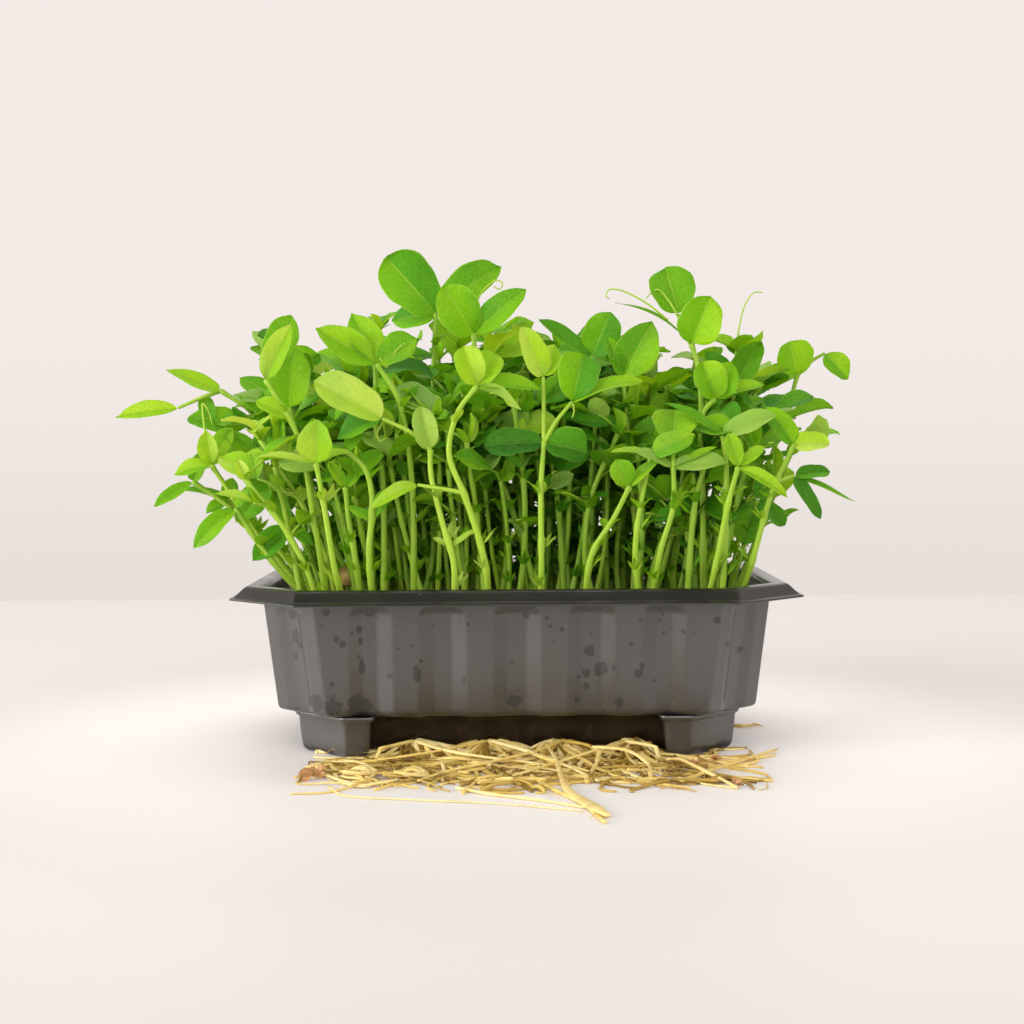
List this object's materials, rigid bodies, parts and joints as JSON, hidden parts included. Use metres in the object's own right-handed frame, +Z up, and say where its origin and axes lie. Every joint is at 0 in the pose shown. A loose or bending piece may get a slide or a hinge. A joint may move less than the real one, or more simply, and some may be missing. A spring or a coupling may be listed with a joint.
{
  "type": "pea shoot microgreens tray",
  "caption": "Thin black plastic tray with a fluted octagonal wall and corner feet, full of upright pea shoots in a root mat, with pale roots trailing from its drain notches.",
  "frame": {"origin": "the middle of the underside of the box round the whole object, on the surface that the feet stand on", "axes": "+X to the right along the tray's long side, +Y to the back, +Z up; the long trailing root points to the front"},
  "size_m": [0.2606, 0.2126, 0.1703],
  "materials": {
    "tray_plastic": "thin thermoformed black plastic, satin gloss with dried water spots",
    "root_mat": "matted pale brown roots and growing fibre, rough and damp",
    "seed_coat": "wrinkled tan seed coat",
    "root": "pale yellow root, satin and damp",
    "stem": "smooth juicy light green stem",
    "leaf": "soft green leaf, lighter midrib and veins, waxy satin"
  },
  "bodies": {
    "root": {"tray": "tray_plastic", "root_mat": "root_mat", "seed_01": "seed_coat", "seed_02": "seed_coat", "root_01": "root", "root_02": "root", "root_03": "root", "root_04": "root", "root_05": "root", "root_06": "root", "root_07": "root", "root_08": "root", "stem_01": "stem", "leaves_01": "leaf", "stem_02": "stem", "leaves_02": "leaf", "stem_03": "stem", "leaves_03": "leaf", "stem_04": "stem", "leaves_04": "leaf", "stem_05": "stem", "leaves_05": "leaf", "stem_06": "stem", "leaves_06": "leaf", "stem_07": "stem", "leaves_07": "leaf", "stem_08": "stem", "leaves_08": "leaf", "stem_09": "stem", "leaves_09": "leaf", "stem_10": "stem", "leaves_10": "leaf", "stem_11": "stem", "leaves_11": "leaf", "stem_12": "stem", "leaves_12": "leaf", "stem_13": "stem", "leaves_13": "leaf", "stem_14": "stem", "leaves_14": "leaf", "stem_15": "stem", "leaves_15": "leaf", "stem_16": "stem", "leaves_16": "leaf", "stem_17": "stem", "leaves_17": "leaf", "stem_18": "stem", "leaves_18": "leaf", "stem_19": "stem", "leaves_19": "leaf", "stem_20": "stem", "leaves_20": "leaf", "stem_21": "stem", "leaves_21": "leaf", "stem_22": "stem", "leaves_22": "leaf", "stem_23": "stem", "leaves_23": "leaf", "stem_24": "stem", "leaves_24": "leaf"}
  },
  "joints": []
}
